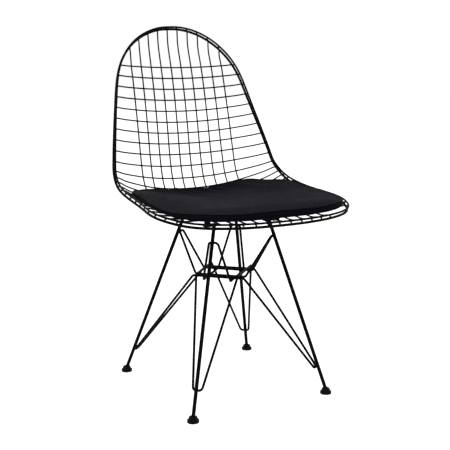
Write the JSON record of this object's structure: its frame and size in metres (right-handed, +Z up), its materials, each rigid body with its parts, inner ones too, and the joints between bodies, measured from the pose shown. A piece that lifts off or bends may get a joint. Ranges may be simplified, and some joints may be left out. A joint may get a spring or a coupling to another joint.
{
  "type": "wire mesh chair",
  "caption": "Side chair with a welded wire mesh shell inside a doubled rim, a thin seat pad, and a strutted rod base on tilting glides.",
  "frame": {"origin": "on the floor, in the middle of the whole chair's outline, between the four glides", "axes": "+Z up, the sitter faces -Y, +X to the sitter's left"},
  "size_m": [0.4688, 0.5361, 0.8321],
  "materials": {
    "coated_wire": "satin",
    "pad": "satin",
    "glide": "matte",
    "steel": "zinc plated"
  },
  "bodies": {
    "chair": {"carrier_bosses": "coated_wire", "cross_wire_01": "coated_wire", "cross_wire_02": "coated_wire", "cross_wire_03": "coated_wire", "cross_wire_04": "coated_wire", "cross_wire_05": "coated_wire", "cross_wire_06": "coated_wire", "cross_wire_07": "coated_wire", "cross_wire_08": "coated_wire", "cross_wire_09": "coated_wire", "cross_wire_10": "coated_wire", "cross_wire_11": "coated_wire", "cross_wire_12": "coated_wire", "cross_wire_13": "coated_wire", "cross_wire_14": "coated_wire", "cross_wire_15": "coated_wire", "cross_wire_16": "coated_wire", "cross_wire_17": "coated_wire", "cross_wire_18": "coated_wire", "cross_wire_19": "coated_wire", "cross_wire_20": "coated_wire", "cross_wire_21": "coated_wire", "cross_wire_22": "coated_wire", "cross_wire_23": "coated_wire", "cross_wire_24": "coated_wire", "front_carrier": "coated_wire", "front_left_leg": "coated_wire", "front_left_lug": "coated_wire", "front_right_leg": "coated_wire", "front_right_lug": "coated_wire", "inner_rim": "coated_wire", "long_wire_01": "coated_wire", "long_wire_02": "coated_wire", "long_wire_03": "coated_wire", "long_wire_04": "coated_wire", "long_wire_05": "coated_wire", "long_wire_06": "coated_wire", "long_wire_07": "coated_wire", "long_wire_08": "coated_wire", "long_wire_09": "coated_wire", "long_wire_10": "coated_wire", "lower_strut_front_left": "coated_wire", "lower_strut_rear_left": "coated_wire", "lug_screws": "steel", "lug_washers": "steel", "outer_rim": "coated_wire", "rear_carrier": "coated_wire", "rear_left_leg": "coated_wire", "rear_left_lug": "coated_wire", "rear_right_leg": "coated_wire", "rear_right_lug": "coated_wire", "seat_pad": "pad", "upper_strut_front_left": "coated_wire", "upper_strut_rear_left": "coated_wire"},
    "front_left_glide": {"front_left_glide": "glide"},
    "front_right_glide": {"front_right_glide": "glide"},
    "rear_left_glide": {"rear_left_glide": "glide"},
    "rear_right_glide": {"rear_right_glide": "glide"}
  },
  "joints": [
    {"name": "rear_left_glide_tilt", "type": "hinge", "parent": "chair", "child": "rear_left_glide", "pos_m": [-0.1705, 0.179, 0.009], "axis": [0.7523, 0.6589, 0], "range_deg": [-6, 6]},
    {"name": "front_left_glide_tilt", "type": "hinge", "parent": "chair", "child": "front_left_glide", "pos_m": [-0.1705, -0.179, 0.009], "axis": [-0.6713, 0.7411, 0], "range_deg": [-6, 6]},
    {"name": "front_right_glide_tilt", "type": "hinge", "parent": "chair", "child": "front_right_glide", "pos_m": [0.1705, -0.179, 0.009], "axis": [-0.6713, -0.7411, 0], "range_deg": [-6, 6]},
    {"name": "rear_right_glide_tilt", "type": "hinge", "parent": "chair", "child": "rear_right_glide", "pos_m": [0.1705, 0.179, 0.009], "axis": [0.7523, -0.6589, 0], "range_deg": [-6, 6]}
  ]
}
